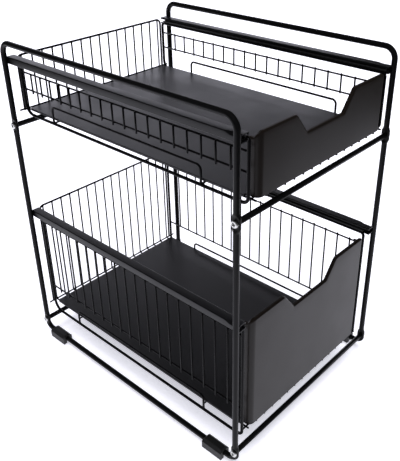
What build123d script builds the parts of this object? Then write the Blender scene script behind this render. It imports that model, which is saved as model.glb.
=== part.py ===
# Two-tier pull-out organizer for the cabinet under a sink, in millimetres.
# Two closed tube frames stand side by side on clip-on feet, joined by four screwed crossbars. Each tier is a
# welded wire basket that hangs from two runners, which slide in folded channels on the frames.
# X runs across the front, -Y is the front that the drawers pull out of, and Z = 0 is the floor.
import os

from build123d import *

# Side frames, one loop of round tube each
frame_width = 299.4         # between the centre planes of the two frames
frame_depth = 400.0         # between the centres of the front and back posts
frame_height = 464.6        # between the centres of the bottom and top rails
tube_radius = 3.75
tube_wall = 1.0
top_bend = 15.0
bottom_bend = 11.5
rail_level = 9.0            # floor to the centre of the bottom rails

# Pressed flats on the posts, where the crossbar screws pass
low_screw_rise = 13.5       # above the centre of the bottom rails
mid_screw_drop = 115.4      # below the centre of the top rails
flat_thickness = 4.4
flat_width = 11.0
flat_height = 18.0
flat_ramp = 3.0
screw_hole_radius = 2.3

# Crossbars, their threaded end inserts and the screws
bar_radius = 3.5
bar_wall = 0.8
insert_length = 14.0
insert_fit = 0.05
thread_clearance = 0.1
screw_radius = 2.0
screw_length = 16.0
head_radius = 4.5
head_height = 2.8
head_crown = 0.9
recess_size = 4.6
recess_width = 1.1
recess_depth = 1.6

# Feet, which clip round the bottom rails
foot_length = 33.0
foot_width = 16.0
foot_height = 15.0
foot_inset = 34.0           # from the post centres
foot_bevel = 4.0
foot_edge = 1.0
foot_grip = 0.05
foot_slot = 4.0

# Fixed rails, a folded channel with its mouth towards the drawer
rail_depth = 12.7
rail_height = 9.7
rail_sheet = 1.0
rail_fold = 0.8
rail_mouth = 4.7
rail_overhang = 1.0         # past the post centres at both ends
rail_crush = 2.7            # flattened corner at the front end
rail_crush_length = 17.0
upper_rail_drop = 29.8      # underside, below the centre of the top rails
lower_rail_rise = 203.0     # underside, above the centre of the bottom rails
weld_touch = 0.12           # how far a spot weld sinks one piece into the next
seam_touch = 0.03           # the same along a long seam
weld_bite = 0.3             # the same where wires cross inside one welded grid
bend_touch = 0.015          # the same where a wire lies along the inside of another wire's bend

# Runners, a smaller channel inside each rail with a tongue out through the mouth
slide_clearance = 0.35
runner_sheet = 1.2
runner_setback = 1.5        # from the hanger's front and back legs
runner_bevel = 2.1          # clears the rail's flattened corner
tongue_sheet = 1.4
tongue_overlap = 0.8        # past the centre of the hanger wire

# Hanger loops, one each side of a drawer
hanger_radius = 2.0
hanger_gap = 0.5            # between the rail's lips and the wire
hanger_shortfall = 5.5      # front to back leg, shorter than post to post
hanger_lift = 2.2           # top run above the underside of the rail
hanger_top_bend = 5.0
hanger_front_bend = 8.0
hanger_back_bend = 15.0
upper_hanger_height = 74.1
lower_hanger_height = 181.0
upper_hanger_front = 0.5    # front leg behind the post centres, drawer closed
lower_hanger_front = 5.0

# Side grids, welded between the legs of the hanger loops
grid_radius = 1.2
grid_columns = 18
grid_first = 22.0           # first upright behind the front leg
grid_last = 24.85           # last upright ahead of the back leg
grid_stub = 2.0             # below the low wire
upper_grid_drop = 14.9      # top wire below the hanger's top run
lower_grid_drop = 18.2
upper_grid_rise = 36.1      # low wire above the hanger's bottom run
lower_grid_rise = 46.3

# Guard wires, an inverted U on the hanger's bottom run
guard_radius = 1.5
guard_bend = 6.0
guard_front = 66.5          # front leg behind the hanger's front leg
guard_back = 61.5           # back leg ahead of the hanger's back leg
upper_guard_rise = 23.5
lower_guard_rise = 24.3

# Wire beds, the floor and the back of each basket
bed_wires = 16
bed_side_gap = 3.2          # hanger wire to the outermost wire on each side
bed_bend = 2.5
upper_bed_rise = 3.1        # floor wires above the hanger's bottom run
lower_bed_rise = 11.8
back_cross_stub = 9.3       # past the hanger's back leg
hoop_radius = 1.5
hoop_bend = 8.0
hoop_lift = 7.4             # hoop top above the underside of the rail
hoop_foot = 3.0             # hoop legs below the back cross wire
upper_front_cross = 4.5     # front cross wire behind the hanger's front leg
lower_front_cross = 0.0

# Tray liners, a flat sheet on the floor wires
liner_thickness = 2.75
liner_seat = 0.05
liner_side_gap = 0.5
liner_back_gap = 3.0        # ahead of the hanger's back leg
liner_corner = 4.0

# Front panels, pressed sheet with a finger notch and returned edges
panel_side_gap = 6.57       # to the hanger wire on each side
panel_sheet = 1.2
panel_depth = 14.0
panel_bend = 8.0
panel_lead = 6.0            # front face ahead of the hanger's front leg
panel_lip = 4.0
panel_corner = 8.0
upper_panel_height = 73.6
lower_panel_height = 168.3
notch_depth = 25.5
notch_top_width = 112.0
notch_bottom_width = 71.0
notch_offset = -3.0
notch_shoulder = 6.0
notch_corner = 4.0
cut_overrun = 2.0

# Places worked out from the sizes above
frame_plane = -frame_width / 2
front_post = -frame_depth / 2
back_post = frame_depth / 2
rail_face = frame_plane + tube_radius - weld_touch
lip_face = rail_face + rail_depth
hanger_plane = lip_face + hanger_gap + hanger_radius
bar_length = frame_width - flat_thickness
mid_screw_rise = frame_height - mid_screw_drop
upper_rail_rise = frame_height - upper_rail_drop
hanger_length = frame_depth - hanger_shortfall
grid_pitch = (hanger_length - grid_first - grid_last) / (grid_columns - 1)
guard_legs = (guard_front, hanger_length - guard_back)
bed_reach = -hanger_plane - hanger_radius - bed_side_gap - grid_radius
bed_pitch = 2 * bed_reach / (bed_wires - 1)
back_cross_rise = 2 * grid_radius - bend_touch                  # above the floor wires
back_cross_reach = hanger_radius + grid_radius - weld_touch     # behind the hanger's back leg
back_wire_reach = back_cross_reach + 2 * grid_radius - bend_touch
hoop_reach = back_cross_reach + grid_radius + hoop_radius - weld_touch
panel_width = 2 * (-hanger_plane - hanger_radius - panel_side_gap)


def bent_wire(points, radii, radius, closed=False):
    """A round wire along straight runs joined by bends."""
    with BuildPart() as wire:
        with BuildLine() as route:
            FilletPolyline(*points, radius=radii, close=closed)
        with BuildSketch(Plane(origin=route.line @ 0, z_dir=route.line % 0)):
            Circle(radius)
        sweep()
    return wire.part


def rod_along_x(radius, length, mode=Mode.ADD):
    """A round rod or bore along X at the places that are set."""
    Cylinder(radius, length, rotation=(0, 90, 0), mode=mode)


def rod_along_y(radius, length, mode=Mode.ADD):
    """A round rod or bore along Y at the places that are set."""
    Cylinder(radius, length, rotation=(90, 0, 0), mode=mode)


def save(piece, name):
    piece.label = name
    export_step(piece, f"parts/{name}.step")


def save_pair(left, name, tier=""):
    """Writes a left-hand piece and its mirror image."""
    with BuildPart() as right:
        mirror(left, about=Plane.YZ)
    save(left, f"{tier}left_{name}")
    save(right.part, f"{tier}right_{name}")


def screw_places():
    """Where the four screws of one side frame pass, as (y, z)."""
    rises = (low_screw_rise, mid_screw_rise)
    return [(y, rail_level + rise) for y in (front_post, back_post) for rise in rises]


def build_side_frame():
    """The left tube frame: a closed loop with pressed flats, hollow between them."""
    low = rail_level
    high = rail_level + frame_height
    mid_flat = rail_level + mid_screw_rise
    low_flat = rail_level + low_screw_rise
    closed_end = flat_height / 2 + flat_ramp + tube_wall
    half_flat = flat_thickness / 2
    ramp_top = tube_radius + tube_wall
    corners = [(frame_plane, y, z) for y, z in
               ((front_post, low), (back_post, low), (back_post, high), (front_post, high))]
    with BuildPart() as frame:
        add(bent_wire(corners, [bottom_bend, bottom_bend, top_bend, top_bend], tube_radius, closed=True))
        for y, z in screw_places():
            with BuildSketch(Plane.XZ.offset(-y)):
                for side in (1, -1):
                    with Locations((frame_plane, z)):
                        Polygon(
                            (side * half_flat, -flat_height / 2),
                            (side * half_flat, flat_height / 2),
                            (side * ramp_top, flat_height / 2 + flat_ramp),
                            (side * ramp_top, -flat_height / 2 - flat_ramp),
                            align=None,
                        )
            extrude(amount=2 * tube_radius, both=True, mode=Mode.SUBTRACT)
            with BuildSketch(Plane.YZ.offset(frame_plane - half_flat)):
                with Locations((y, z)):
                    Ellipse(flat_width / 2, flat_height / 2)
            extrude(amount=flat_thickness)
        with Locations(*[(frame_plane, y, z) for y, z in screw_places()]):
            rod_along_x(screw_hole_radius, 2 * flat_thickness, mode=Mode.SUBTRACT)
        bore = tube_radius - tube_wall
        arch = [(frame_plane, y, z) for y, z in
                ((front_post, mid_flat + closed_end), (front_post, high),
                 (back_post, high), (back_post, mid_flat + closed_end))]
        add(bent_wire(arch, [top_bend, top_bend], bore), mode=Mode.SUBTRACT)
        post_bottom = low_flat + closed_end
        post_top = mid_flat - closed_end
        with Locations(*[(frame_plane, y, (post_bottom + post_top) / 2) for y in (front_post, back_post)]):
            Cylinder(bore, post_top - post_bottom, mode=Mode.SUBTRACT)
        with Locations((frame_plane, 0, low)):
            rod_along_y(bore, frame_depth - 2 * bottom_bend, mode=Mode.SUBTRACT)
    return frame.part


def build_crossbar(y, rise):
    """A round tube between the flats of the two frames."""
    with BuildPart() as bar:
        with Locations((0, y, rail_level + rise)):
            rod_along_x(bar_radius, bar_length)
            rod_along_x(bar_radius - bar_wall, bar_length + 2 * cut_overrun, mode=Mode.SUBTRACT)
    return bar.part


def build_inserts():
    """Threaded plugs pressed into both ends of each crossbar, one solid each."""
    reach = bar_length / 2 - insert_length / 2
    places = [(side * reach, y, z) for side in (-1, 1) for y, z in screw_places()]
    with BuildPart() as inserts:
        with Locations(*places):
            rod_along_x(bar_radius - bar_wall - insert_fit, insert_length)
            rod_along_x(screw_radius + thread_clearance, insert_length + cut_overrun, mode=Mode.SUBTRACT)
    return inserts.part


def build_screws():
    """Pan-head screws with a cross recess, one solid each, from outside through the flats."""
    seat = frame_width / 2 + flat_thickness / 2
    with BuildPart() as one:
        Cylinder(head_radius, head_height, align=(Align.CENTER, Align.CENTER, Align.MIN))
        fillet(one.edges().sort_by(Axis.Z)[-1], head_crown)
        Cylinder(screw_radius, screw_length, align=(Align.CENTER, Align.CENTER, Align.MAX))
        with BuildSketch(Plane.XY.offset(head_height)):
            Rectangle(recess_size, recess_width)
            Rectangle(recess_width, recess_size)
        extrude(amount=-recess_depth, mode=Mode.SUBTRACT)
    with BuildPart() as screws:
        for side in (-1, 1):
            for y, z in screw_places():
                with Locations(Plane(origin=(side * seat, y, z), z_dir=(side, 0, 0))):
                    add(one.part)
    return screws.part


def build_foot(y):
    """A moulded block that snaps over the bottom rail from below, left side."""
    with BuildPart() as foot:
        with BuildSketch(Plane.XZ.offset(foot_length / 2 - y)) as outline:
            with Locations((frame_plane, 0)):
                Rectangle(foot_width, foot_height, align=(Align.CENTER, Align.MIN))
            chamfer(outline.vertices().group_by(Axis.Y)[-1], foot_bevel)
        extrude(amount=-foot_length)
        chamfer(foot.edges().filter_by(Axis.X).group_by(Axis.Z)[-1], foot_bevel / 2)
        fillet(foot.faces().sort_by(Axis.Z)[0].edges(), foot_edge)
        with Locations((frame_plane, y, rail_level)):
            rod_along_y(tube_radius + foot_grip, foot_length + 2 * cut_overrun, mode=Mode.SUBTRACT)
        with Locations((frame_plane, y, 0)):
            Box(foot_slot, foot_length + 2 * cut_overrun, rail_level,
                align=(Align.CENTER, Align.CENTER, Align.MIN), mode=Mode.SUBTRACT)
    return foot.part


def channel_stretch(base, start, length, crushed):
    """A stretch of the left folded channel, with its upper outer corner flattened if crushed."""
    with BuildPart() as stretch:
        with BuildSketch(Plane.XZ.offset(-start)) as section:
            with Locations((rail_face, base)):
                Rectangle(rail_depth, rail_height, align=(Align.MIN, Align.MIN))
            corners = section.vertices()
            outer_top = corners.group_by(Axis.Y)[-1].sort_by(Axis.X)[0]
            if crushed:
                chamfer(outer_top, rail_crush)
            offset(amount=-rail_sheet, kind=Kind.INTERSECTION, mode=Mode.SUBTRACT)
            with Locations((lip_face, base + rail_height / 2)):
                Rectangle(2 * rail_sheet + cut_overrun, rail_mouth, mode=Mode.SUBTRACT)
        extrude(amount=-length)
    return stretch.part


def build_fixed_rail(rail_rise):
    """The left channel that is welded to both posts of its frame."""
    base = rail_level + rail_rise
    start = front_post - rail_overhang
    length = frame_depth + 2 * rail_overhang
    with BuildPart() as rail:
        add(channel_stretch(base, start, rail_crush_length, crushed=True))
        add(channel_stretch(base, start + rail_crush_length, length - rail_crush_length, crushed=False))
        folds = rail.edges().filter_by(Axis.Y).filter_by(lambda e: e.length > length / 2)
        outer = folds.group_by(Axis.Z)[0] + folds.group_by(Axis.Z)[-1]
        fillet(outer, rail_fold)
    return rail.part


def build_runner(rail_rise, hanger_front):
    """The left inner channel, open towards the frame, with the tongue that carries the hanger."""
    base = rail_level + rail_rise
    play = rail_sheet + slide_clearance
    depth = rail_depth - 2 * play
    height = rail_height - 2 * play
    start = front_post + hanger_front + runner_setback
    length = hanger_length - 2 * runner_setback
    tongue_base = base + hanger_lift + hanger_radius - seam_touch
    tongue_end = hanger_plane + tongue_overlap
    with BuildPart() as runner:
        with BuildSketch(Plane.XZ.offset(-start)) as section:
            with Locations((rail_face + play, base + play)):
                Rectangle(depth, height, align=(Align.MIN, Align.MIN))
            chamfer(section.vertices().group_by(Axis.X)[0], runner_bevel)
            with Locations((rail_face + play - runner_sheet, base + rail_height / 2)):
                Rectangle(depth, height - 2 * runner_sheet, align=(Align.MIN, Align.CENTER),
                          mode=Mode.SUBTRACT)
            with Locations((tongue_end, tongue_base)):
                Rectangle(tongue_end - rail_face - play - depth + runner_sheet, tongue_sheet,
                          align=(Align.MAX, Align.MIN))
        extrude(amount=-length)
    return runner.part


def build_hanger(rail_rise, height, hanger_front):
    """The left closed loop of thick wire that the basket is welded to."""
    top = rail_level + rail_rise + hanger_lift
    low = top - height
    front = front_post + hanger_front
    back = front + hanger_length
    corners = [(hanger_plane, y, z) for y, z in ((front, low), (back, low), (back, top), (front, top))]
    bends = [hanger_front_bend, hanger_back_bend, hanger_top_bend, hanger_top_bend]
    return bent_wire(corners, bends, hanger_radius, closed=True)


def build_side_grid(rail_rise, height, hanger_front, drop, rise):
    """Two long wires between the hanger's legs, with a row of uprights on their outer side."""
    hanger_top = rail_level + rail_rise + hanger_lift
    top_wire = hanger_top - drop
    low_wire = hanger_top - height + rise
    front = front_post + hanger_front
    reach = hanger_length - 2 * (hanger_radius - weld_touch)
    upright_plane = hanger_plane - 2 * grid_radius + weld_bite
    upright_foot = low_wire - grid_radius - grid_stub
    upright_head = top_wire + grid_radius
    upright_level = (upright_foot + upright_head) / 2
    with BuildPart() as grid:
        with Locations(*[(hanger_plane, front + hanger_length / 2, z) for z in (top_wire, low_wire)]):
            rod_along_y(grid_radius, reach)
        with Locations(*[(upright_plane, front + grid_first + n * grid_pitch, upright_level)
                         for n in range(grid_columns)]):
            Cylinder(grid_radius, upright_head - upright_foot)
    return grid.part


def build_guard(rail_rise, height, hanger_front, rise):
    """An inverted U that stands on the hanger's bottom run and keeps things in."""
    low = rail_level + rail_rise + hanger_lift - height
    foot = low + hanger_radius - weld_touch
    legs = [front_post + hanger_front + leg for leg in guard_legs]
    points = [(hanger_plane, legs[0], foot), (hanger_plane, legs[0], low + rise),
              (hanger_plane, legs[1], low + rise), (hanger_plane, legs[1], foot)]
    return bent_wire(points, [guard_bend, guard_bend], guard_radius)


def build_wire_bed(rail_rise, height, hanger_front, rise, front_cross, post_radius):
    """The bent floor and back wires of a basket, with the cross wires welded under them."""
    base = rail_level + rail_rise
    floor = base + hanger_lift - height + rise
    front = front_post + hanger_front
    back = front + hanger_length + back_wire_reach
    under = floor - 2 * grid_radius + weld_bite
    hanger_flank = -hanger_plane - hanger_radius + weld_touch
    post_flank = -hanger_plane - post_radius + weld_touch
    hoop_underside = base + hoop_lift - hoop_radius
    with BuildPart() as bed:
        with Locations((0, front + front_cross, under)):
            rod_along_x(grid_radius, 2 * hanger_flank)
        with Locations(*[(0, front + leg, under) for leg in guard_legs]):
            rod_along_x(grid_radius, 2 * post_flank)
        for n in range(bed_wires):
            x = n * bed_pitch - bed_reach
            add(bent_wire(
                [(x, front - panel_lead, floor), (x, back, floor), (x, back, hoop_underside + seam_touch)],
                bed_bend, grid_radius))
    return bed.part


def build_back_cross(rail_rise, height, hanger_front, rise):
    """The straight wire across the back of the hanger loops, which the back wires are welded to."""
    level = rail_level + rail_rise + hanger_lift - height + rise + back_cross_rise
    back = front_post + hanger_front + hanger_length + back_cross_reach
    with BuildPart() as cross:
        with Locations((0, back, level)):
            rod_along_x(grid_radius, 2 * (-hanger_plane + back_cross_stub))
    return cross.part


def build_back_hoop(rail_rise, height, hanger_front, rise):
    """The thicker wire that runs up, across the top of the back wires and down again."""
    base = rail_level + rail_rise
    foot = base + hanger_lift - height + rise + back_cross_rise - hoop_foot
    back = front_post + hanger_front + hanger_length + hoop_reach
    side = -hanger_plane
    top = base + hoop_lift
    corners = [(-side, back, foot), (-side, back, top), (side, back, top), (side, back, foot)]
    return bent_wire(corners, [hoop_bend, hoop_bend], hoop_radius)


def build_liner(rail_rise, height, hanger_front, rise):
    """The flat sheet in the basket, narrower in front where it passes between the panel's returns."""
    floor = rail_level + rail_rise + hanger_lift - height + rise
    front = front_post + hanger_front
    panel_back = front - panel_lead + panel_sheet
    shoulder = front - panel_lead + panel_depth + liner_side_gap
    back = front + hanger_length - liner_back_gap
    wide = -hanger_plane - hanger_radius - liner_side_gap
    narrow = panel_width / 2 - panel_sheet - liner_side_gap
    with BuildPart() as liner:
        with BuildSketch(Plane.XY.offset(floor + grid_radius + liner_seat)) as outline:
            with Locations((0, shoulder)):
                Rectangle(2 * wide, back - shoulder, align=(Align.CENTER, Align.MIN))
            with Locations((0, panel_back + liner_side_gap)):
                Rectangle(2 * narrow, back - panel_back - 2 * liner_side_gap, align=(Align.CENTER, Align.MIN))
            fillet(outline.vertices().group_by(Axis.Y)[-1], liner_corner)
            chamfer(outline.vertices().group_by(Axis.Y)[0], panel_bend)
        extrude(amount=liner_thickness)
        fillet(liner.faces().sort_by(Axis.Z)[-1].edges(), liner_thickness / 4)
    return liner.part


def panel_front(bottom, height, inset):
    """The front outline of a panel as a face in X and Z, drawn in by inset at its top and sides."""
    top = bottom + height - inset
    side = panel_width / 2 - inset
    slope = (notch_top_width - notch_bottom_width) / 2 / notch_depth
    low = bottom + height - notch_depth - inset
    half_bottom = notch_bottom_width / 2 + inset
    half_top = half_bottom + slope * notch_depth
    left = notch_offset - half_top
    right = notch_offset + half_top
    with BuildSketch() as face:
        with BuildLine():
            FilletPolyline(
                (-side, bottom), (-side, top), (left, top), (notch_offset - half_bottom, low),
                (notch_offset + half_bottom, low), (right, top), (side, top), (side, bottom),
                radius=[panel_corner, notch_shoulder, notch_corner, notch_corner, notch_shoulder,
                        panel_corner])
            Line((side, bottom), (-side, bottom))
        make_face()
    return face.sketch


def panel_plan(front, inset):
    """The plan of a panel as a face in X and Y: straight with rounded bends at its front corners."""
    with BuildSketch() as plan:
        with Locations((0, front + inset)):
            Rectangle(panel_width - 2 * inset, panel_depth + inset, align=(Align.CENTER, Align.MIN))
        fillet(plan.vertices().group_by(Axis.Y)[0], panel_bend - inset)
    return plan.sketch


def build_panel(rail_rise, height, hanger_front, rise, panel_height):
    """The pressed front: sides bent back to the full depth, top and notch edges returned by a short lip."""
    floor = rail_level + rail_rise + hanger_lift - height + rise
    bottom = floor + grid_radius - weld_touch
    front = front_post + hanger_front - panel_lead
    with BuildPart() as panel:
        with BuildSketch(Plane.XY.offset(bottom)):
            add(panel_plan(front, 0))
            add(panel_plan(front, panel_sheet), mode=Mode.SUBTRACT)
            with Locations((0, front)):
                Rectangle(panel_width, panel_depth, align=(Align.CENTER, Align.MIN), mode=Mode.INTERSECT)
        extrude(amount=panel_height)
        with BuildSketch(Plane.XZ.offset(-front + cut_overrun)):
            with Locations((0, bottom)):
                Rectangle(panel_width + 2 * cut_overrun, panel_height + cut_overrun,
                          align=(Align.CENTER, Align.MIN))
            add(panel_front(bottom, panel_height, 0), mode=Mode.SUBTRACT)
        extrude(amount=-panel_depth - 2 * cut_overrun, mode=Mode.SUBTRACT)
        with BuildSketch(Plane.XZ.offset(-front)):
            add(panel_front(bottom, panel_height, 0))
            add(panel_front(bottom, panel_height, panel_sheet), mode=Mode.SUBTRACT)
            with Locations((0, bottom)):
                Rectangle(panel_width - 2 * panel_bend, panel_height, align=(Align.CENTER, Align.MIN),
                          mode=Mode.INTERSECT)
        extrude(amount=-panel_lip)
    return panel.part


os.makedirs("parts", exist_ok=True)

save_pair(build_side_frame(), "side_frame")
for bar_name, bar_rise in (("mid", mid_screw_rise), ("bottom", low_screw_rise)):
    save(build_crossbar(front_post, bar_rise), f"front_{bar_name}_crossbar")
    save(build_crossbar(back_post, bar_rise), f"back_{bar_name}_crossbar")
save(build_inserts(), "crossbar_inserts")
save(build_screws(), "frame_screws")
save_pair(build_foot(front_post + foot_inset), "foot", "front_")
save_pair(build_foot(back_post - foot_inset), "foot", "back_")

tiers = [
    ("upper_", upper_rail_rise, upper_hanger_height, upper_hanger_front, upper_grid_drop, upper_grid_rise,
     upper_guard_rise, upper_bed_rise, upper_front_cross, hanger_radius, upper_panel_height),
    ("lower_", lower_rail_rise, lower_hanger_height, lower_hanger_front, lower_grid_drop, lower_grid_rise,
     lower_guard_rise, lower_bed_rise, lower_front_cross, guard_radius, lower_panel_height),
]
for (tier, rail_rise, height, lead, grid_drop, grid_rise,
     guard_rise, bed_rise, front_cross, post_radius, panel_height) in tiers:
    save_pair(build_fixed_rail(rail_rise), "fixed_rail", tier)
    save_pair(build_runner(rail_rise, lead), "runner", tier)
    save_pair(build_hanger(rail_rise, height, lead), "hanger_loop", tier)
    save_pair(build_side_grid(rail_rise, height, lead, grid_drop, grid_rise), "side_grid", tier)
    save_pair(build_guard(rail_rise, height, lead, guard_rise), "guard_wire", tier)
    save(build_wire_bed(rail_rise, height, lead, bed_rise, front_cross, post_radius), f"{tier}wire_bed")
    save(build_back_cross(rail_rise, height, lead, bed_rise), f"{tier}back_cross_wire")
    save(build_back_hoop(rail_rise, height, lead, bed_rise), f"{tier}back_hoop")
    save(build_liner(rail_rise, height, lead, bed_rise), f"{tier}tray_liner")
    save(build_panel(rail_rise, height, lead, bed_rise, panel_height), f"{tier}front_panel")
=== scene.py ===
# Looks of a two-tier pull-out organizer for the cabinet under a sink.
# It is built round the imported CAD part, in its frame: metres, X across the front, -Y the front, Z up and the
# floor at Z = 0.
import math

import bpy
import numpy as np
from mathutils import Matrix, Vector


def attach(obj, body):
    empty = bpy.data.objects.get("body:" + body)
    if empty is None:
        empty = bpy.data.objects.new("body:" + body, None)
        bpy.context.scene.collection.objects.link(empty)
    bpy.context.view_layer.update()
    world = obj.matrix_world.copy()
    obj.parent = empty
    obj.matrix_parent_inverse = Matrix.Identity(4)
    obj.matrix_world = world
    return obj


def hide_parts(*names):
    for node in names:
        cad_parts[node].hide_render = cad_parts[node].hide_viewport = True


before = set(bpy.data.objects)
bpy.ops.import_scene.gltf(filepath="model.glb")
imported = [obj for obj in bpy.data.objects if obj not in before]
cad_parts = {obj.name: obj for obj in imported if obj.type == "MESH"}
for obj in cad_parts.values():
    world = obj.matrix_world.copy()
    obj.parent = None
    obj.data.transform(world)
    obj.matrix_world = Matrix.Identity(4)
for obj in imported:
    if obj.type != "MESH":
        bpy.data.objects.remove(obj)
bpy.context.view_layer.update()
MM = 0.001

# Camera
# A hand-held view from the front left, above the top rails, as in the photograph. The lens and the small
# shift come from the photograph's own perspective, and its long side sets the sensor.
camera_place = Vector((-585.87, -570.70, 699.19)) * MM
camera_turn = 0.8258        # radians from +Y towards +X
camera_pitch = 0.5014       # radians down
camera_roll = -0.0133
lens_pixels = 656.42
centre_across = 213.31      # where the lens axis meets the picture, in pixels
centre_down = 199.67
picture_wide = 400
picture_high = 461
sensor = 36.0

ahead = Vector((math.sin(camera_turn) * math.cos(camera_pitch),
                math.cos(camera_turn) * math.cos(camera_pitch), -math.sin(camera_pitch)))
level_right = Vector((math.cos(camera_turn), -math.sin(camera_turn), 0.0))
level_up = level_right.cross(ahead)
right = math.cos(camera_roll) * level_right + math.sin(camera_roll) * level_up
up = math.cos(camera_roll) * level_up - math.sin(camera_roll) * level_right
camera_data = bpy.data.cameras.new("camera")
camera_data.sensor_width = sensor
camera_data.lens = lens_pixels * sensor / picture_high
camera_data.shift_x = (picture_wide / 2 - centre_across) / picture_high
camera_data.shift_y = (centre_down - picture_high / 2) / picture_high
camera_data.clip_start = 0.01
camera_data.clip_end = 60.0
camera = bpy.data.objects.new("camera", camera_data)
bpy.context.scene.collection.objects.link(camera)
camera.matrix_world = Matrix((
    (right.x, up.x, -ahead.x, camera_place.x),
    (right.y, up.y, -ahead.y, camera_place.y),
    (right.z, up.z, -ahead.z, camera_place.z),
    (0.0, 0.0, 0.0, 1.0),
))
bpy.context.scene.camera = camera


# Shared tools for finishes
# A finish is one Principled shader, whose colour and roughness drift with a noise at a real size. Every
# node is added by one function, and constants stay on the shader's own sockets.
def linear(code):
    """An sRGB hex code as linear red, green, blue and alpha: c / 12.92 if dark, else
    ((c + 0.055) / 1.055) ** 2.4."""
    values = [int(code[k:k + 2], 16) / 255 for k in (1, 3, 5)]
    return [c / 12.92 if c <= 0.04045 else ((c + 0.055) / 1.055) ** 2.4 for c in values] + [1.0]


def add_node(tree, kind, sockets=None, **settings):
    """Adds one node with its settings, and gives each named input a value or a link."""
    node = tree.nodes.new(kind)
    for name, value in settings.items():
        setattr(node, name, value)
    for name, value in (sockets or {}).items():
        if isinstance(value, bpy.types.NodeSocket):
            tree.links.new(value, node.inputs[name])
        else:
            node.inputs[name].default_value = value
    return node


def new_finish(name):
    """An empty material: (material, tree, the piece's own coordinates in metres)."""
    material = bpy.data.materials.new(name)
    material.use_nodes = True
    tree = material.node_tree
    tree.nodes.clear()
    return material, tree, add_node(tree, "ShaderNodeTexCoord").outputs["Object"]


def close_finish(tree, sockets):
    """Ends a material with one Principled shader that has these sockets."""
    shader = add_node(tree, "ShaderNodeBsdfPrincipled", sockets)
    add_node(tree, "ShaderNodeOutputMaterial", {"Surface": shader.outputs["BSDF"]})


def noise(tree, place, size, detail):
    """A soft noise whose lumps have this size in metres."""
    sockets = {"Vector": place, "Scale": 1 / size, "Detail": detail}
    return add_node(tree, "ShaderNodeTexNoise", sockets).outputs["Fac"]


def drifting_colour(tree, drift, first, second):
    """A colour that drifts between two sRGB codes."""
    return add_node(tree, "ShaderNodeMix", {"Factor": drift, "A": linear(first), "B": linear(second)},
                    data_type="RGBA").outputs["Result"]


def drifting_value(tree, drift, first, second):
    """A value that drifts from the first to the second over the noise's usual range."""
    return add_node(tree, "ShaderNodeMapRange", {"Value": drift, "From Min": 0.3, "From Max": 0.7,
                                                 "To Min": first, "To Max": second}).outputs["Result"]


def powder_coat(name, dark, light, smoothest, roughest, peel, depth, index):
    """Black polyester powder baked on steel. Flow leaves an orange peel some 2 mm across, drawn at the
    given peel and depth in metres, and the film's thickness changes slowly, so colour and roughness drift a
    little over some centimetres."""
    material, tree, place = new_finish(name)
    film = noise(tree, place, 40 * MM, 3.0)
    bump = add_node(tree, "ShaderNodeBump", {"Height": noise(tree, place, peel, 1.0), "Strength": 1.0,
                                             "Distance": depth})
    close_finish(tree, {"Base Color": drifting_colour(tree, film, dark, light),
                        "Roughness": drifting_value(tree, film, smoothest, roughest),
                        "Normal": bump.outputs["Normal"], "IOR": index})
    return material


def recoat(node_name, material):
    """Puts a finish on a CAD node that keeps its own shape."""
    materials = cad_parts[node_name].data.materials
    materials.clear()
    materials.append(material)


# Shared tools for shapes
# Surfaces are grids of points worked out with numpy. Each is a tuple of its vertices, its quads and the
# triangles that close it.
shortest_run = 1e-12        # keeps a run without length from dividing by zero
domed_tip = 0.5             # how far a cut end is rounded, as a share of its half width
sheared_tip = 0.12
tip_leans = np.radians([0, 30, 55, 75])
round_section = 2           # the squareness of a circle
wire_sides = 12
bead_leans = np.radians([12, 40, 65, 90, 115, 140, 168])
bead_sides = 10
bead_power = 0.7


def smooth_step(share):
    """From 0 to 1 without a corner: 3 s ** 2 - 2 s ** 3."""
    return share * share * (3 - 2 * share)


def rounded_route(corners, bends, closed=False, turn=math.radians(7.5)):
    """Straight runs through the corners, joined by arcs: (points, headings, distance along). At a corner
    that turns by angle t with radius r, the arc starts r tan(t/2) before it, and its point at angle w is
    start + r (sin w) heading + r (1 - cos w) inward."""
    corners = np.array(corners, float)
    count = len(corners)
    points, headings = [], []
    for k in range(count):
        if not closed and k in (0, count - 1):
            run = corners[1] - corners[0] if k == 0 else corners[-1] - corners[-2]
            points.append(corners[k][None])
            headings.append((run / np.linalg.norm(run))[None])
            continue
        before = corners[k] - corners[k - 1]
        after = corners[(k + 1) % count] - corners[k]
        before, after = before / np.linalg.norm(before), after / np.linalg.norm(after)
        angle = math.acos(float(np.clip(before @ after, -1, 1)))
        inward = after - before * (before @ after)
        inward = inward / np.linalg.norm(inward)
        bend = bends[k] if closed else bends[k - 1]
        start = corners[k] - before * bend * math.tan(angle / 2)
        sweep = np.linspace(0, angle, max(3, int(round(angle / turn)) + 1))[:, None]
        points.append(start + bend * (np.sin(sweep) * before + (1 - np.cos(sweep)) * inward))
        headings.append(np.cos(sweep) * before + np.sin(sweep) * inward)
    points, headings = np.concatenate(points), np.concatenate(headings)
    steps = np.linalg.norm(np.diff(points, axis=0), axis=1)
    return points, headings, np.concatenate([[0], np.cumsum(steps)])


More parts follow.
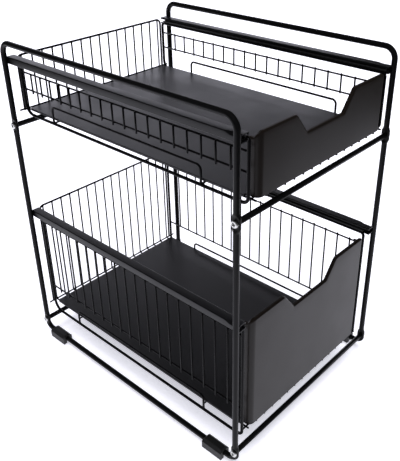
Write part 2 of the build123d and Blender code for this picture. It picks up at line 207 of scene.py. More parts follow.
def closer(route, places, reach, step):
    """The same route with more points on its straight runs, every step within reach of each place."""
    points, headings, along = route
    runs = np.diff(points, axis=0)
    squares = np.maximum((runs ** 2).sum(1), shortest_run)
    extra = []
    for place in places:
        share = np.clip(((np.array(place) - points[:-1]) * runs).sum(1) / squares, 0, 1)
        foot = points[:-1] + runs * share[:, None]
        k = ((foot - np.array(place)) ** 2).sum(1).argmin()
        near = along[k] + share[k] * (along[k + 1] - along[k])
        extra.append(np.arange(near - reach, near + reach + step / 2, step))
    distance = np.unique(np.round(np.concatenate([along] + extra), 7))
    distance = distance[(distance >= along[0]) & (distance <= along[-1])]
    new_points = np.stack([np.interp(distance, along, points[:, c]) for c in range(3)], 1)
    new_headings = np.stack([np.interp(distance, along, headings[:, c]) for c in range(3)], 1)
    return new_points, new_headings / np.linalg.norm(new_headings, axis=1)[:, None], distance


def skin(grid, wrap_rows=False, wrap_columns=False, poles=False):
    """A surface over a grid of points, rows by columns: (vertices, quads, caps). A closed surface is turned
    to face outwards by the sign of its volume, the sum of a . (b x c) / 6 over its triangles."""
    rows, columns = grid.shape[:2]
    vertices = grid.reshape(-1, 3)
    number = np.arange(rows * columns).reshape(rows, columns)
    if wrap_rows:
        number = np.concatenate([number, number[:1]])
    if wrap_columns:
        number = np.concatenate([number, number[:, :1]], 1)
    quads = np.stack([number[:-1, :-1], number[1:, :-1], number[1:, 1:], number[:-1, 1:]], -1).reshape(-1, 4)
    corners = [quads[:, [0, 1, 2]], quads[:, [0, 2, 3]]]
    caps = np.zeros((0, 3), int)
    if poles:
        ends = np.stack([grid[0].mean(0), grid[-1].mean(0)])
        first, last = len(vertices), len(vertices) + 1
        vertices = np.concatenate([vertices, ends])
        low = np.stack([number[0, 1:], np.full(number.shape[1] - 1, first), number[0, :-1]], 1)[:, ::-1]
        high = np.stack([number[-1, :-1], np.full(number.shape[1] - 1, last), number[-1, 1:]], 1)[:, ::-1]
        caps = np.concatenate([low, high])
        corners.append(caps)
    a, b, c = (vertices[np.concatenate(corners)[:, k]] for k in range(3))
    if (a * np.cross(b, c)).sum() < 0:
        quads, caps = quads[:, ::-1], caps[:, ::-1]
    return vertices, quads, caps


def swept(route, across, half_across, half_up, squareness, sides, closed=False, domed=True):
    """A wire or tube along a flat route, as a closed surface. A ring's point at angle w is centre +
    half_across C(w) across + half_up S(w) up, with C and S = sign |cos or sin| ** (2 / squareness), so 2 is
    round and more is flatter. Cut ends are domed: rings shrink as a quarter circle and close on a pole."""
    points, headings, _ = route
    across = np.array(across, float)
    upward = np.cross(headings, across)
    half_across, half_up, squareness = (np.broadcast_to(np.asarray(value, float), len(points)).copy()
                                        for value in (half_across, half_up, squareness))
    if not closed:
        tip = min(half_across[0], half_up[0]) * (domed_tip if domed else sheared_tip)
        shrink, advance = np.cos(tip_leans), np.sin(tip_leans) * tip
        ahead_of = points[-1] + headings[-1] * (advance[1:, None] - tip)
        behind = points[0] - headings[0] * (advance[:0:-1, None] - tip)
        points = np.concatenate([behind, [points[0] + headings[0] * tip], points[1:-1],
                                 [points[-1] - headings[-1] * tip], ahead_of])
        fade = np.concatenate([shrink[::-1], np.ones(len(points) - 2 * len(shrink)), shrink])

        def stretched(values):
            """The values along the route, with those at its ends repeated for the rings of the tips."""
            count = len(tip_leans)
            low, high = np.repeat(values[:1], count, 0), np.repeat(values[-1:], count, 0)
            return np.concatenate([low, values[1:-1], high])

        upward, squareness = stretched(upward), stretched(squareness)
        half_across, half_up = stretched(half_across) * fade, stretched(half_up) * fade
    turn = np.arange(sides) * 2 * np.pi / sides
    power = (2 / squareness)[:, None]
    c = np.sign(np.cos(turn)) * np.abs(np.cos(turn)) ** power * half_across[:, None]
    s = np.sign(np.sin(turn)) * np.abs(np.sin(turn)) ** power * half_up[:, None]
    rings = points[:, None] + c[..., None] * across + s[..., None] * upward[:, None]
    return skin(rings, wrap_rows=closed, wrap_columns=True, poles=not closed)


def round_wire(route, across, radius, sides=wire_sides, closed=False, domed=True):
    """A wire of round section along a flat route."""
    return swept(route, across, radius, radius, round_section, sides, closed=closed, domed=domed)


def straight_wire(start, end, across, radius, sides=wire_sides, domed=True):
    """A round straight wire with rounded or sheared ends."""
    return round_wire(rounded_route([start, end], []), across, radius, sides, domed=domed)


def weld_bead(centre, half_size):
    """The metal squeezed out where two wires are welded: a closed form whose point at angles (a, b) is
    centre + half_size * (sin a C(b), sin a S(b), cos a), C and S squared off by a power."""
    a = bead_leans[:, None]
    b = np.arange(bead_sides) * 2 * np.pi / bead_sides
    c = np.sign(np.cos(b)) * np.abs(np.cos(b)) ** bead_power
    s = np.sign(np.sin(b)) * np.abs(np.sin(b)) ** bead_power
    grid = np.stack(np.broadcast_arrays(np.sin(a) * c, np.sin(a) * s, np.cos(a)), -1) * np.array(half_size)
    return skin(grid + np.array(centre), wrap_columns=True, poles=True)


def mirrored(surface):
    """The same surface on the other side of the YZ plane, facing outwards again."""
    points, quads, caps = surface
    return points * np.array([-1, 1, 1]), quads[:, ::-1], caps[:, ::-1]


def both_sides(surfaces):
    """The names and surfaces of a left piece and of its mirror image."""
    return ("left", surfaces), ("right", [mirrored(surface) for surface in surfaces])


def place_piece(name, surfaces, body, material, replaced=(), sharp=None):
    """One object at the origin from several surfaces, with its material and body; the CAD nodes it stands
    for are hidden."""
    vertices, faces, start = [], [], 0
    for points, quads, caps in surfaces:
        vertices.append(points)
        faces += (quads + start).tolist() + (caps + start).tolist()
        start += len(points)
    mesh = bpy.data.meshes.new(name)
    mesh.from_pydata(np.concatenate(vertices).tolist(), [], faces)
    mesh.polygons.foreach_set("use_smooth", np.ones(len(mesh.polygons), bool))
    if sharp:
        mesh.set_sharp_from_angle(angle=math.radians(sharp))
    mesh.materials.append(material)
    piece = bpy.data.objects.new(name, mesh)
    bpy.context.scene.collection.objects.link(piece)
    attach(piece, body)
    if replaced:
        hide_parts(*replaced)
    return piece


def give_sheet(piece, thickness, edge):
    """Turns a middle surface into sheet of that thickness with softened edges."""
    wall = piece.modifiers.new("sheet", "SOLIDIFY")
    wall.thickness = thickness
    wall.offset = 0.0
    wall.use_even_offset = True
    wall.use_quality_normals = True
    round_off = piece.modifiers.new("edges", "BEVEL")
    round_off.width = edge
    round_off.segments = 2
    round_off.limit_method = "ANGLE"
    round_off.angle_limit = math.radians(50)
    round_off.harden_normals = True


# Side frames
# One loop of 7.5 mm steel tube on each side, bent and butt welded, with four places pressed flat for the
# crossbar screws. Degreased, sprayed with black powder and baked, so it has a hard skin with a soft gloss.
frame_plane = 149.7 * MM
post_reach = 200.0 * MM
bottom_level = 9.0 * MM
top_level = 473.6 * MM
top_bend = 15.0 * MM
bottom_bend = 11.5 * MM
tube_radius = 3.75 * MM
screw_levels = (22.5 * MM, 358.2 * MM)
flat_half_thickness = 2.2 * MM
flat_half_width = 5.5 * MM
flat_half_length = 5.5 * MM
flat_ramp = 6.5 * MM
flat_squareness = 2.5       # added to that of the round section
flat_ring_step = 0.5 * MM
tube_sides = 32
tube_coat = powder_coat("black_powder_coat_on_tube", "#070708", "#0d0d0e", smoothest=0.28, roughest=0.36,
                        peel=2.4 * MM, depth=0.012 * MM, index=1.22)
frame_corners = [(-frame_plane, y, z) for y, z in ((0.0, bottom_level), (post_reach, bottom_level),
                                                   (post_reach, top_level), (-post_reach, top_level),
                                                   (-post_reach, bottom_level), (0.0, bottom_level))]
frame_route = rounded_route(frame_corners, [bottom_bend, top_bend, top_bend, bottom_bend])
flats = [(-frame_plane, y, z) for y in (-post_reach, post_reach) for z in screw_levels]
frame_points, frame_headings, _ = closer(frame_route, flats, flat_half_length + flat_ramp, flat_ring_step)
frame_points, frame_headings = frame_points[:-1], frame_headings[:-1]
from_flat = np.min([np.linalg.norm(frame_points - np.array(flat), axis=1) for flat in flats], axis=0)
pressed = smooth_step(np.clip((flat_half_length + flat_ramp - from_flat) / flat_ramp, 0, 1))
left_frame = swept((frame_points, frame_headings, None), (1, 0, 0),
                   tube_radius + (flat_half_thickness - tube_radius) * pressed,
                   tube_radius + (flat_half_width - tube_radius) * pressed,
                   round_section + flat_squareness * pressed, tube_sides, closed=True)
for side, surfaces in both_sides([left_frame]):
    place_piece(f"{side}_frame_tube", surfaces, "frame", tube_coat,
                [f"{side}_side_frame"])

# Studio table
# A photographer's table of white acrylic, softly lit from below so that shadows on it stay faint. It ends
# some 0.4 m in front of the object, and only it shows in the gloss of the steel, as the floor beyond lies
# in the dark.
table_left, table_right = -1.5, 1.0
table_front, table_back = -0.62, 1.4
table_level = -0.1 * MM
table_glow = 0.62
floor_reach = 14.0
table_top, tree, place = new_finish("matt_white_acrylic_lit_from_below")
tone = drifting_colour(tree, noise(tree, place, 60 * MM, 2.0), "#ececf6", "#f1f1fa")
close_finish(tree, {"Base Color": tone, "Roughness": 0.9, "Emission Color": tone,
                    "Emission Strength": table_glow})
table_corners = [(table_left, table_front), (table_right, table_front), (table_right, table_back),
                 (table_left, table_back)]
floor_corners = [(-floor_reach, -floor_reach), (floor_reach, -floor_reach), (floor_reach, floor_reach),
                 (-floor_reach, floor_reach)]
for stage_name, stage_faces in (("table_top", [(0, 1, 2, 3)]),
                                ("far_floor", [(4 + k, 4 + (k + 1) % 4, (k + 1) % 4, k) for k in range(4)])):
    stage_mesh = bpy.data.meshes.new(stage_name)
    stage_mesh.from_pydata([(x, y, table_level) for x, y in table_corners + floor_corners], [], stage_faces)
    stage_mesh.materials.append(table_top)
    stage_piece = bpy.data.objects.new(stage_name, stage_mesh)
    bpy.context.scene.collection.objects.link(stage_piece)
    stage_piece.visible_glossy = stage_name == "table_top"

# Studio light
# A soft overhead light that keeps the table white, a large soft box behind on the right that shows in the
# trays and on the rails, a weak one in front on the left, and a dark room round them that the camera sees
# as white.
room_glow = 0.06
backdrop_glow = 1.0         # seen by the camera alone
world = bpy.data.worlds.new("dark_room")
bpy.context.scene.world = world
world.use_nodes = True
world.node_tree.nodes.clear()
walls = [add_node(world.node_tree, "ShaderNodeBackground", {"Color": linear("#ffffff"), "Strength": strength})
         for strength in (room_glow, backdrop_glow)]
seen = add_node(world.node_tree, "ShaderNodeLightPath").outputs["Is Camera Ray"]
choice = add_node(world.node_tree, "ShaderNodeMixShader",
                  {0: seen, 1: walls[0].outputs[0], 2: walls[1].outputs[0]})
add_node(world.node_tree, "ShaderNodeOutputWorld", {"Surface": choice.outputs[0]})
bpy.context.scene.view_settings.view_transform = "Standard"


def add_light(name, kind, place, aim, power, width, height=1.0, colour="#ffffff"):
    """A light at a place that faces a point. Power is in watts and width in metres for an area light. For a
    sun they are its strength and its angle in degrees."""
    data = bpy.data.lights.new(name, kind)
    data.energy = power
    data.color = linear(colour)[:3]
    if kind == "AREA":
        data.shape = "RECTANGLE"
        data.size, data.size_y = width, height
    else:
        data.angle = math.radians(width)
    light = bpy.data.objects.new(name, data)
    light.location = place
    light.rotation_mode = "QUATERNION"
    light.rotation_quaternion = (Vector(aim) - Vector(place)).to_track_quat("-Z", "Y")
    bpy.context.scene.collection.objects.link(light)
    return light


ceiling_light = add_light("ceiling_light", "SUN", (0.0, 0.0, 3.0), (0.1, 0.1, 0.0), power=3.4, width=70.0)
ceiling_light.visible_glossy = False
add_light("back_soft_box", "AREA", (1.3, 1.7, 0.95), (0.0, 0.0, 0.4), power=7.8, width=2.0, height=0.6,
          colour="#f2f1ff")
add_light("front_soft_box", "AREA", (-1.7, -1.3, 2.0), (0.0, 0.0, 0.3), power=1.5, width=1.2, height=1.2)

# Crossbars
# Four straight lengths of 7 mm tube that hold the side frames apart, front and back, low and half way up.
# They are cut square, coated like the frames, and their ends butt on the pressed flats.
bar_radius = 3.5 * MM
bar_sides = 28
bar_reach = frame_plane - flat_half_thickness
for level_name, bar_level in zip(("bottom", "mid"), screw_levels):
    for end_name, bar_y in (("front", -post_reach), ("back", post_reach)):
        bar = straight_wire((-bar_reach, bar_y, bar_level), (bar_reach, bar_y, bar_level), (0, 1, 0),
                            bar_radius, bar_sides, domed=False)
        bar_name = f"{end_name}_{level_name}"
        place_piece(f"{bar_name}_bar", [bar], "frame", tube_coat,
                    [f"{bar_name}_crossbar"])

# Screws
# Eight M4 pan head screws with a cross recess go through the flats into threaded plugs in the bars. Cold
# headed steel with bright zinc plate: pale, slightly blue, with fine swirls from the plating barrel.
screw_seat = frame_plane + flat_half_thickness
head_radius = 4.5 * MM
head_height = 2.8 * MM
head_crown = 1.1 * MM
head_slope = 0.35 * MM      # drop of the top from the middle to the crown
head_chamfer = 0.1 * MM
first_radius = 0.06 * MM
shank_radius = 2.0 * MM
shank_length = 16.0 * MM
recess_reach = 2.5 * MM
recess_half_width = 0.62 * MM
recess_depth = 1.9 * MM
recess_taper = 0.35 * MM
top_rings = 34
crown_rings = 8
screw_sides = 48
screw_turns = np.radians([20, 65, 5, 40, 75, 30, 55, 12])


def cross_recess(across, upward):
    """How deep the recess is, as a share: the larger of two slots, each the product of a ramp over its
    width and a ramp over its length."""
    width = [np.clip((recess_half_width + recess_taper - np.abs(value)) / recess_taper, 0, 1)
             for value in (across, upward)]
    length = [np.clip((recess_reach - np.abs(value)) / (recess_taper * 2), 0, 1)
              for value in (across, upward)]
    return np.maximum(width[0] * length[1], width[1] * length[0])


def pan_screw(side, place_y, place_z, turned):
    """A profile turned about X: the crown is an ellipse quarter at the head's edge, flat in the middle,
    less the recess; below it the shank runs to a blunt point."""
    top_radii = np.linspace(first_radius, head_radius - head_crown, top_rings)
    lean = np.radians(np.linspace(0, 90, crown_rings + 1))[1:]
    radius = np.concatenate([top_radii, head_radius - head_crown + head_crown * np.sin(lean),
                             [head_radius, head_radius - head_chamfer, shank_radius, shank_radius,
                              shank_radius / 2]])
    height = np.concatenate([np.full(top_rings, head_height), head_height - head_crown * (1 - np.cos(lean)),
                             [head_chamfer, 0.0, 0.0, -shank_length + shank_radius, -shank_length]])
    height = height - head_slope * np.clip(radius / head_radius, 0, 1) ** 2 * (height > head_crown)
    angle = np.arange(screw_sides) * 2 * np.pi / screw_sides
    across, upward = radius[:, None] * np.cos(angle), radius[:, None] * np.sin(angle)
    c, s = math.cos(turned), math.sin(turned)
    sunk = cross_recess(across * c + upward * s, upward * c - across * s) * recess_depth
    sunk[top_rings:] = 0
    grid = np.stack([side * (screw_seat + height[:, None] - sunk), place_y + across, place_z + upward], -1)
    return skin(grid, wrap_columns=True, poles=True)


zinc_plate, tree, place = new_finish("bright_zinc_plate_on_steel")
swirl = noise(tree, place, 1.2 * MM, 3.0)
close_finish(tree, {"Base Color": drifting_colour(tree, swirl, "#b9bcc0", "#dcdad4"), "Metallic": 1.0,
                    "Roughness": drifting_value(tree, swirl, 0.22, 0.38)})
screw_places = [(side, y, z) for side in (-1, 1) for _, y, z in flats]
screws = [pan_screw(*screw_place, turned) for screw_place, turned in zip(screw_places, screw_turns)]
place_piece("cross_recess_screws", screws, "frame", zinc_plate, ["frame_screws"], sharp=40)
recoat("crossbar_inserts", zinc_plate)

# Feet
# Four blocks clipped round the bottom rails keep the steel off the cabinet floor. Moulded in black TPE, a
# soft plastic, with a spark eroded matt skin. The CAD's own shape is kept.
foot_plastic, tree, place = new_finish("moulded_black_tpe")
speck = noise(tree, place, 0.9 * MM, 2.0)
grit = add_node(tree, "ShaderNodeBump", {"Height": speck, "Distance": 0.05 * MM})
close_finish(tree, {"Base Color": drifting_colour(tree, speck, "#121213", "#1c1c1d"), "Roughness": 0.55,
                    "Normal": grit.outputs["Normal"], "IOR": 1.5})
for foot_name in ("front_left_foot", "front_right_foot", "back_left_foot", "back_right_foot"):
    recoat(foot_name, foot_plastic)

# Fixed rails
# Four channels folded from 1 mm steel strip and spot welded to the posts, open towards the drawers. Their
# upper outer corner is knocked flat at the front end. Coated with the frames, a touch more matt on the flat
# strip.
rail_outer = 146.07 * MM
rail_inner = 133.37 * MM
rail_high = 9.7 * MM
rail_sheet = 1.0 * MM
rail_reach = 201.0 * MM
rail_lip = 2.5 * MM
rail_fold = 0.8 * MM
rail_edge = 0.2 * MM
plain_corner = 0.5 * MM
knocked_corner = 2.7 * MM
knocked_length = 17.0 * MM
knocked_fade = 9.0 * MM
fade_rings = 13
rail_bases = {"upper": 443.8 * MM, "lower": 212.0 * MM}
rail_coat = powder_coat("black_powder_coat_on_strip", "#08080a", "#0f0f11", smoothest=0.34, roughest=0.42,
                        peel=2.6 * MM, depth=0.012 * MM, index=1.36)


def rail_section(base, corner):
    """The middle line of the strip's section in X and Z, with the upper outer corner cut at 45 degrees."""
    outer, inner = -rail_outer + rail_sheet / 2, -rail_inner - rail_sheet / 2
    low, high = base + rail_sheet / 2, base + rail_high - rail_sheet / 2
    places = [(inner, low + rail_lip - rail_sheet / 2), (inner, low), (outer, low), (outer, high - corner),
              (outer + corner, high), (inner, high), (inner, high - rail_lip + rail_sheet / 2)]
    points, _, _ = rounded_route([(x, 0.0, z) for x, z in places], [rail_fold] * 5, turn=math.radians(15))
    return points


def rail_strip(base):
    """The section carried along Y, blended from the knocked corner to the plain one by a smooth step."""
    fade = -rail_reach + knocked_length + np.linspace(-0.5, 1, fade_rings) * knocked_fade
    y = np.concatenate([[-rail_reach], fade, [0.0, rail_reach]])
    share = np.clip((y + rail_reach - knocked_length + knocked_fade / 2) / knocked_fade, 0, 1)
    share = smooth_step(share)[:, None, None]
    knocked, plain = (rail_section(base, corner)[None] for corner in (knocked_corner, plain_corner))
    grid = knocked * (1 - share) + plain * share
    grid[:, :, 1] = y[:, None]
    return skin(grid)


for tier, base in rail_bases.items():
    for side, surfaces in both_sides([rail_strip(base)]):
        rail = place_piece(f"{tier}_{side}_rail", surfaces, "frame", rail_coat,
                           [f"{tier}_{side}_fixed_rail"])
        give_sheet(rail, rail_sheet, rail_edge)

# Runners
# The inner channels that slide in the rails, each with a tongue that comes out through the mouth and is
# welded on the hanger wire. Folded steel strip with a thin satin coat, rubbed a little by the rail along
# its faces.
rub_width = 1.5 * MM
rub_length = 90 * MM
runner_coat, tree, place = new_finish("thin_satin_black_coat_on_strip")
rub_scale = (1 / rub_width, 1 / rub_length, 1 / rub_width)
rub_place = add_node(tree, "ShaderNodeMapping", {"Vector": place, "Scale": rub_scale}).outputs["Vector"]
rub = noise(tree, rub_place, 1.0, 3.0)
close_finish(tree, {"Base Color": drifting_colour(tree, rub, "#111112", "#232325"),
                    "Roughness": drifting_value(tree, rub, 0.45, 0.3), "IOR": 1.5})
for tier in rail_bases:
    for side in ("left", "right"):
        recoat(f"{tier}_{side}_runner", runner_coat)

# Hanger loops
# The closed loop of 4 mm wire on each side of a drawer that everything else is welded to. Drawn steel wire,
# bent in a press, butt welded, and coated in one go with its basket, so all its wires share one skin.
hanger_plane = 130.87 * MM
hanger_radius = 2.0 * MM
hanger_sides = 20
hanger_long = 394.5 * MM
hanger_bends = [8.0 * MM, 15.0 * MM, 5.0 * MM, 5.0 * MM]
wire_coat = powder_coat("black_powder_coat_on_wire", "#040405", "#09090a", smoothest=0.26, roughest=0.34,
                        peel=1.8 * MM, depth=0.01 * MM, index=1.19)
tiers = {
    "upper": {"front": -199.5 * MM, "low": 371.9 * MM, "top": 446.0 * MM},
    "lower": {"front": -195.0 * MM, "low": 33.2 * MM, "top": 214.2 * MM},
}


def place_wires(name, surfaces, tier, node_name):
    """One piece of coated wire on a drawer, in place of one CAD node."""
    place_piece(name, surfaces, f"{tier}_drawer", wire_coat, [node_name])


for tier, sizes in tiers.items():
    sizes["back"] = sizes["front"] + hanger_long
    loop_corners = [(-hanger_plane, sizes[end], sizes[level])
                    for end, level in (("front", "low"), ("back", "low"), ("back", "top"), ("front", "top"))]
    loop = round_wire(rounded_route(loop_corners, hanger_bends, closed=True), (1, 0, 0), hanger_radius,
                      hanger_sides, closed=True)
    for side, surfaces in both_sides([loop]):
        place_wires(f"{tier}_{side}_hanger", surfaces, tier, f"{tier}_{side}_hanger_loop")

# Side grids
# Two long 2.4 mm wires between the legs of the hanger, with 18 short uprights welded across their outer
# side. The uprights are cut by a shear, so their ends are a little rounded, and each crossing has a small
# weld bead.
grid_radius = 1.2 * MM
weld_bite = 0.3 * MM        # how far wires sink into each other where they cross inside one grid
weld_touch = 0.12 * MM      # the same between one piece and the next
upright_count = 18
upright_first = 22.0 * MM
upright_pitch = 20.45 * MM
upright_stub = 2.0 * MM
upright_x = -hanger_plane - 2 * grid_radius + weld_bite
leg_touch = hanger_radius - weld_touch
upright_bead = (0.75 * MM, 1.35 * MM, 1.35 * MM)
long_wire_bead = (1.35 * MM, 0.8 * MM, 1.35 * MM)
tiers["upper"].update(grid_top=431.1 * MM, grid_low=408.0 * MM)
tiers["lower"].update(grid_top=196.0 * MM, grid_low=79.5 * MM)
for tier, sizes in tiers.items():
    long_levels = (sizes["grid_top"], sizes["grid_low"])
    long_ends = (sizes["front"] + leg_touch, sizes["back"] - leg_touch)
    grid = [straight_wire((-hanger_plane, long_ends[0], z), (-hanger_plane, long_ends[1], z), (1, 0, 0),
                          grid_radius, domed=False) for z in long_levels]
    uprights = sizes["front"] + upright_first + np.arange(upright_count) * upright_pitch
    grid += [straight_wire((upright_x, y, sizes["grid_low"] - grid_radius - upright_stub),
                           (upright_x, y, sizes["grid_top"] + grid_radius), (1, 0, 0), grid_radius)
             for y in uprights]
    grid += [weld_bead((-hanger_plane - grid_radius + weld_bite / 2, y, z), upright_bead)
             for y in uprights for z in long_levels]
    grid += [weld_bead((-hanger_plane, y, z), long_wire_bead) for y in long_ends for z in long_levels]
    for side, surfaces in both_sides(grid):
        place_wires(f"{tier}_{side}_grid", surfaces, tier, f"{tier}_{side}_side_grid")

# Guard wires
# An inverted U of 3 mm wire on the bottom run of each hanger closes the gap under the side grid, so that
# small things can't slip out. Bent and welded on at its two feet.
guard_radius = 1.5 * MM
guard_sides = 16
guard_bend = 6.0 * MM
guard_legs = (66.5 * MM, 333.0 * MM)
guard_bead = (1.75 * MM, 1.9 * MM, 0.75 * MM)
tiers["upper"]["guard_top"] = 395.4 * MM
tiers["lower"]["guard_top"] = 57.5 * MM
for tier, sizes in tiers.items():
    foot_level = sizes["low"] + leg_touch
    legs = [sizes["front"] + leg for leg in guard_legs]
    guard_corners = [(-hanger_plane, legs[0], foot_level), (-hanger_plane, legs[0], sizes["guard_top"]),
                     (-hanger_plane, legs[1], sizes["guard_top"]), (-hanger_plane, legs[1], foot_level)]
    guard = [round_wire(rounded_route(guard_corners, [guard_bend] * 2), (1, 0, 0), guard_radius, guard_sides,
                        domed=False)]
    guard += [weld_bead((-hanger_plane, leg, foot_level), guard_bead) for leg in legs]
    for side, surfaces in both_sides(guard):
        place_wires(f"{tier}_{side}_guard", surfaces, tier, f"{tier}_{side}_guard_wire")

# Wire beds
# Sixteen 2.4 mm wires run under each basket and turn up sharply to make its back, with straight cross wires
# welded under them in front and at the guard wires. Their front ends show as a row of dots under the front
# panel.
bed_count = 16
bed_side_gap = 3.2 * MM
bed_bend = 2.5 * MM
bend_touch = 0.015 * MM     # how far the back cross wire sinks into the inside of their bend
panel_lead = 6.0 * MM
hoop_radius = 1.5 * MM
bed_bead = (1.35 * MM, 1.35 * MM, 0.75 * MM)
bed_reach = hanger_plane - hanger_radius - bed_side_gap - grid_radius
bed_x = np.linspace(-bed_reach, bed_reach, bed_count)
flank = hanger_plane - hanger_radius + weld_touch
tiers["upper"].update(floor=375.0 * MM, hoop_top=451.2 * MM, front_cross=4.5 * MM, leg_radius=hanger_radius)
tiers["lower"].update(floor=45.0 * MM, hoop_top=219.4 * MM, front_cross=0.0, leg_radius=guard_radius)
for tier, sizes in tiers.items():
    sizes["cross_back"] = sizes["back"] + hanger_radius + grid_radius - weld_touch
    sizes["wire_back"] = sizes["cross_back"] + 2 * grid_radius - bend_touch
    under_level = sizes["floor"] - 2 * grid_radius + weld_bite
    leg_flank = hanger_plane - sizes["leg_radius"] + weld_touch
    crosses = [(sizes["front"] + sizes["front_cross"], flank)]
    crosses += [(sizes["front"] + leg, leg_flank) for leg in guard_legs]
    bed = [straight_wire((-reach, y, under_level), (reach, y, under_level), (0, 1, 0), grid_radius,
                         domed=False) for y, reach in crosses]
    for x in bed_x:
        wire_corners = [(x, sizes["front"] - panel_lead, sizes["floor"]),
                        (x, sizes["wire_back"], sizes["floor"]),
                        (x, sizes["wire_back"], sizes["hoop_top"] - hoop_radius)]
        bed.append(round_wire(rounded_route(wire_corners, [bed_bend]), (1, 0, 0), grid_radius))
    bed += [weld_bead((x, y, sizes["floor"] - grid_radius + weld_bite / 2), bed_bead)
            for x in bed_x for y, _ in crosses]
    place_wires(f"{tier}_bed", bed, tier, f"{tier}_wire_bed")

# Back cross wires
# A straight wire in the bend of each bed's wires, welded across the back of both hangers. It is sheared off
# some 9 mm past them, and the ends are left to show.
cross_rise = 2 * grid_radius - bend_touch
cross_stub = 9.3 * MM
cross_bead = (1.35 * MM, 0.6 * MM, 1.35 * MM)
hanger_bead = (1.5 * MM, 0.7 * MM, 1.5 * MM)
for tier, sizes in tiers.items():
    sizes["cross_level"] = sizes["floor"] + cross_rise
    end, y, z = hanger_plane + cross_stub, sizes["cross_back"], sizes["cross_level"]
    cross = [straight_wire((-end, y, z), (end, y, z), (0, 1, 0), grid_radius)]
    cross += [weld_bead((x, y + grid_radius - weld_touch / 2, z), cross_bead) for x in bed_x]
    cross += [weld_bead((side * hanger_plane, y - grid_radius, z), hanger_bead) for side in (-1, 1)]
    place_wires(f"{tier}_cross_wire", cross, tier, f"{tier}_back_cross_wire")

# Back hoops
# A hoop of 3 mm wire stands behind the cross wire at each hanger and runs across the tops of the back
# wires, which are welded to its underside, so that they can't spread.
hoop_sides = 16
hoop_bend = 8.0 * MM
hoop_foot = 3.0 * MM
hoop_bead = (1.45 * MM, 1.3 * MM, 0.7 * MM)
hoop_bead_lead = 0.2 * MM
for tier, sizes in tiers.items():
    y = sizes["cross_back"] + grid_radius + hoop_radius - weld_touch
    foot, top = sizes["cross_level"] - hoop_foot, sizes["hoop_top"]
    hoop_corners = [(-hanger_plane, y, foot), (-hanger_plane, y, top), (hanger_plane, y, top),
                    (hanger_plane, y, foot)]
    hoop = [round_wire(rounded_route(hoop_corners, [hoop_bend] * 2), (0, 1, 0), hoop_radius, hoop_sides)]
    hoop += [weld_bead((x, y - hoop_bead_lead, top - hoop_radius), hoop_bead) for x in bed_x]
    place_wires(f"{tier}_hoop", hoop, tier, f"{tier}_back_hoop")

# Tray liners
# A flat loose sheet on the floor wires of each basket, so that small things stand level. Cut from black
# polypropylene sheet with a faint calendered grain, which gives it a soft broad shine. The CAD's shape is
# kept.
liner_sheet, tree, place = new_finish("calendered_black_polypropylene")
cloud = noise(tree, place, 55 * MM, 3.0)
pebble = noise(tree, place, 1.1 * MM, 2.0)
pebbled = add_node(tree, "ShaderNodeBump", {"Height": pebble, "Distance": 0.012 * MM})
close_finish(tree, {"Base Color": drifting_colour(tree, cloud, "#111113", "#17171a"), "IOR": 1.42,
                    "Roughness": drifting_value(tree, cloud, 0.34, 0.42),
                    "Normal": pebbled.outputs["Normal"]})
for tier in tiers:
    recoat(f"{tier}_tray_liner", liner_sheet)

# Front panels
# A pressed sheet front on each drawer with a finger notch. Its sides are bent back round a wide radius and
# its top edge is rolled over into a short lip, so no raw edge shows. 1.2 mm steel with a fine satin black
# powder coat.
panel_half = 122.3 * MM
panel_sheet = 1.2 * MM
panel_depth = 14.0 * MM
panel_bend = 8.0 * MM
panel_lip = 4.0 * MM
panel_roll = 1.7 * MM
panel_edge = 0.25 * MM
panel_rows = np.concatenate([[0.0, 0.01], np.linspace(0.06, 1, 14)])    # shares of its height
bend_leans = np.radians(np.linspace(0, 90, 13))[1:]
roll_leans = np.radians(np.linspace(0, 90, 8))[1:]
notch_centre = -3.0 * MM
notch_depth = 25.5 * MM
notch_top = 112.0 * MM
notch_bottom = 71.0 * MM
notch_shoulder = 6.0 * MM
notch_corner = 4.0 * MM
tiers["upper"].update(panel_foot=376.08 * MM, panel_high=73.6 * MM)
tiers["lower"].update(panel_foot=46.08 * MM, panel_high=168.3 * MM)
panel_coat = powder_coat("fine_satin_black_powder_coat", "#120e0b", "#17120f", smoothest=0.33, roughest=0.38,
                         peel=1.6 * MM, depth=0.004 * MM, index=1.29)


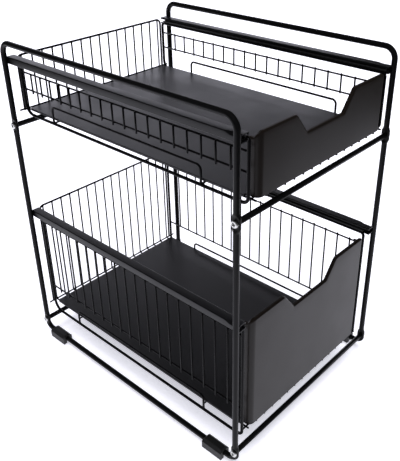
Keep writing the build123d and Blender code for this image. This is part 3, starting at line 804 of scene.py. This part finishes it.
def panel_surface(front, foot, high):
    """The middle surface of a panel, worked out flat and then wrapped. The flat edge runs across at s with
    height top(s). Wrapping carries s round the plan: straight, an arc of the bend's radius, straight back.
    The top edge is rolled by a quarter circle from the direction up m to the direction inwards -n, and a
    short lip follows."""
    bend = panel_bend - panel_sheet / 2
    face = front + panel_sheet / 2
    top = foot + high - panel_sheet / 2
    flat_half = panel_half - panel_sheet / 2 - bend
    arc = bend * math.pi / 2
    back = panel_depth - panel_bend
    low = top - notch_depth
    edge_corners = [(-flat_half, 0.0, top), (notch_centre - notch_top / 2, 0.0, top),
                    (notch_centre - notch_bottom / 2, 0.0, low), (notch_centre + notch_bottom / 2, 0.0, low),
                    (notch_centre + notch_top / 2, 0.0, top), (flat_half, 0.0, top)]
    flat_points, flat_heads, _ = rounded_route(
        edge_corners, [notch_shoulder, notch_corner, notch_corner, notch_shoulder], turn=math.radians(6))
    drop_s = flat_half + bend * bend_leans
    drop_z = top - bend * (1 - np.cos(bend_leans))
    end_s = flat_half + arc + np.array([0.5, 1.0]) * back
    end_z = np.full(2, drop_z[-1])
    s = np.concatenate([-end_s[::-1], -drop_s[::-1], flat_points[:, 0], drop_s, end_s])
    z = np.concatenate([end_z, drop_z[::-1], flat_points[:, 2], drop_z, end_z])
    run = np.gradient(s)
    rise = np.gradient(z)
    heads = np.stack([run, rise], 1) / np.hypot(run, rise)[:, None]
    start = len(end_s) + len(drop_s)
    heads[start:start + len(flat_points)] = flat_heads[:, [0, 2]]
    upward = np.stack([-heads[:, 1], heads[:, 0]], 1)

    def wrapped(s_value):
        """(x, y, 0), the tangent and the outward direction of the plan at s."""
        side = np.sign(s_value)
        beyond = np.clip(np.abs(s_value) - flat_half, 0, arc) / bend
        straight = np.clip(np.abs(s_value) - flat_half - arc, 0, None)
        x = side * (np.clip(np.abs(s_value), 0, flat_half) + bend * np.sin(beyond))
        y = face + bend * (1 - np.cos(beyond)) + straight
        tangent = np.stack([np.cos(beyond), side * np.sin(beyond), np.zeros_like(x)], -1)
        outward = np.stack([side * np.sin(beyond), -np.cos(beyond), np.zeros_like(x)], -1)
        return np.stack([x, y, np.zeros_like(x)], -1), tangent, outward

    roll_s = s - panel_roll * upward[:, 0]
    roll_z = z - panel_roll * upward[:, 1]
    plan, tangent, outward = wrapped(roll_s)
    up_axis = np.array([0.0, 0.0, 1.0])
    sheet = plan + (foot + (roll_z - foot) * panel_rows[:, None])[..., None] * up_axis
    climb = upward[:, :1] * tangent + upward[:, 1:] * up_axis
    angle = roll_leans[:, None, None]
    roll = sheet[-1] + panel_roll * (np.sin(angle) * climb - (1 - np.cos(angle)) * outward)
    lip = roll[-1] - outward * (np.array([0.5, 1.0]) * (panel_lip - panel_roll))[:, None, None]
    return skin(np.concatenate([sheet, roll, lip]))


for tier, sizes in tiers.items():
    panel_face = panel_surface(sizes["front"] - panel_lead, sizes["panel_foot"], sizes["panel_high"])
    panel = place_piece(f"{tier}_panel", [panel_face], f"{tier}_drawer", panel_coat,
                        [f"{tier}_front_panel"])
    give_sheet(panel, panel_sheet, panel_edge)
